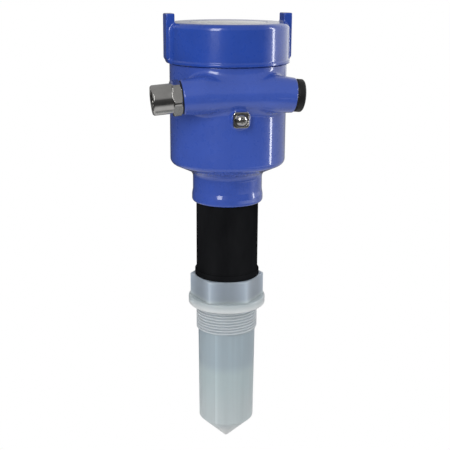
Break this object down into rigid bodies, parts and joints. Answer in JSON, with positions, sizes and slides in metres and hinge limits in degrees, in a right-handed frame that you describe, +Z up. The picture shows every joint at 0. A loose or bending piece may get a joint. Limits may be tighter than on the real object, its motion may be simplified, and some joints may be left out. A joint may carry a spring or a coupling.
{
  "type": "radar level transmitter",
  "caption": "Radar level transmitter: a swivelling cast housing with a windowed screw cover over a threaded plastic fitting and rod antenna.",
  "frame": {"origin": "centre of the sealing face under the flange of the process fitting", "axes": "+Z up along the antenna's axis towards the cover, -Y the front with the ground terminal, +X towards the blind plug"},
  "size_m": [0.1103, 0.0966, 0.3398],
  "materials": {
    "pp_natural": "milky translucent moulded polypropylene",
    "lens_white": "smooth machined fluoropolymer",
    "oring_rubber": "matt black rubber",
    "sleeve_black": "fine matt black plastic",
    "tin_can": "tinned sheet",
    "circuit_board": "green solder mask",
    "lead_jacket": "soft black jacket",
    "turned_aluminium": "fine turned",
    "spring_steel": "phosphated",
    "housing_paint": "glossy blue powder coat on cast aluminium",
    "cover_paint": "glossy blue powder coat on cast aluminium",
    "stainless": "turned stainless steel",
    "plug_black": "black moulded plastic",
    "seal_rubber": "matt black rubber",
    "cup_plastic": "black moulded plastic",
    "plate_plastic": "grey moulded plastic",
    "terminal_green": "green moulded plastic",
    "zinc_screw": "zinc plated",
    "contact_gold": "gold plated",
    "display_plastic": "fine grained black plastic",
    "lcd_face": "grey green display glass",
    "clear_pane": "clear acrylic",
    "key_grey": "grey key cap",
    "window_glass": "toughened glass"
  },
  "bodies": {
    "transmitter_base": {"process_fitting": "pp_natural", "antenna_horn": "turned_aluminium", "horn_lens": "lens_white", "fitting_oring": "oring_rubber", "adapter_sleeve": "sleeve_black", "rf_can": "tin_can", "rf_board": "circuit_board", "rf_lid": "tin_can", "signal_lead": "lead_jacket", "swivel_spigot": "turned_aluminium", "spigot_oring_lower": "oring_rubber", "spigot_oring_upper": "oring_rubber", "retaining_ring": "spring_steel"},
    "housing": {"housing_body": "housing_paint", "conduit_adapter": "stainless", "adapter_seal": "seal_rubber", "electronics_cup": "cup_plastic", "main_board": "circuit_board", "terminal_plate": "plate_plastic", "terminal_block": "terminal_green", "terminal_screws": "zinc_screw", "module_screws": "zinc_screw", "contact_pins": "contact_gold", "display_case": "display_plastic", "display_board": "circuit_board", "lcd_module": "lcd_face", "display_lens": "clear_pane"},
    "lock_screw_left": {"lock_screw_left": "stainless"},
    "lock_screw_right": {"lock_screw_right": "stainless"},
    "plug_seal": {"plug_seal": "seal_rubber"},
    "blind_plug": {"blind_plug": "plug_black"},
    "ground_clamp": {"ground_clamp": "stainless", "ground_washer": "stainless"},
    "ground_screw": {"ground_screw": "stainless"},
    "key_1": {"key_1": "key_grey"},
    "key_2": {"key_2": "key_grey"},
    "key_3": {"key_3": "key_grey"},
    "key_4": {"key_4": "key_grey"},
    "cover_seal": {"cover_oring": "oring_rubber"},
    "cover": {"cover_ring": "cover_paint", "window_gasket_upper": "seal_rubber", "window_glass": "window_glass", "window_gasket_lower": "seal_rubber", "window_retainer": "zinc_screw"}
  },
  "joints": [
    {"name": "housing_swivel", "type": "hinge", "parent": "transmitter_base", "child": "housing", "pos_m": [0, 0, 0.0873], "axis": [0, 0, 1], "range_deg": [-165, 165]},
    {"name": "cover_rise", "type": "slide", "parent": "housing", "child": "cover_seal", "axis": [0, 0, 1], "range_m": [0, 0.0101]},
    {"name": "cover_turn", "type": "hinge", "parent": "cover_seal", "child": "cover", "pos_m": [0, 0, 0.2], "axis": [0, 0, 1], "range_deg": [0, 1800]},
    {"name": "plug_slide", "type": "slide", "parent": "housing", "child": "plug_seal", "axis": [0.9962, 0, -0.0872], "range_m": [0, 0.0075]},
    {"name": "plug_turn", "type": "hinge", "parent": "plug_seal", "child": "blind_plug", "pos_m": [0.0403, -0.037, 0.16666], "axis": [0.9962, 0, -0.0872], "range_deg": [0, 1801]},
    {"name": "ground_slide", "type": "slide", "parent": "housing", "child": "ground_clamp", "axis": [0, -1, 0], "range_m": [0, 0.0028]},
    {"name": "ground_turn", "type": "hinge", "parent": "ground_clamp", "child": "ground_screw", "pos_m": [0, -0.04585, 0.1513], "axis": [0, -1, 0], "range_deg": [0, 1441]},
    {"name": "lock_turn_left", "type": "hinge", "parent": "housing", "child": "lock_screw_left", "pos_m": [-0.012, 0.02079, 0.0873], "axis": [-0.5, 0.866, 0], "range_deg": [0, 720]},
    {"name": "lock_turn_right", "type": "hinge", "parent": "housing", "child": "lock_screw_right", "pos_m": [0.012, 0.02079, 0.0873], "axis": [0.5, 0.866, 0], "range_deg": [0, 720]},
    {"name": "key_1_press", "type": "slide", "parent": "housing", "child": "key_1", "axis": [0, 0, -1], "range_m": [0, 0.0008], "stiffness_N_per_m": 500, "springref_m": -0.0002},
    {"name": "key_2_press", "type": "slide", "parent": "housing", "child": "key_2", "axis": [0, 0, -1], "range_m": [0, 0.0008], "stiffness_N_per_m": 500, "springref_m": -0.0002},
    {"name": "key_3_press", "type": "slide", "parent": "housing", "child": "key_3", "axis": [0, 0, -1], "range_m": [0, 0.0008], "stiffness_N_per_m": 500, "springref_m": -0.0002},
    {"name": "key_4_press", "type": "slide", "parent": "housing", "child": "key_4", "axis": [0, 0, -1], "range_m": [0, 0.0008], "stiffness_N_per_m": 500, "springref_m": -0.0002}
  ],
  "couplings": [
    {"joint": "cover_rise", "follows": "cover_turn", "m_per_rad": 0.00031831},
    {"joint": "plug_turn", "follows": "plug_slide", "rad_per_m": 4188.8},
    {"joint": "ground_turn", "follows": "ground_slide", "rad_per_m": 8976}
  ]
}
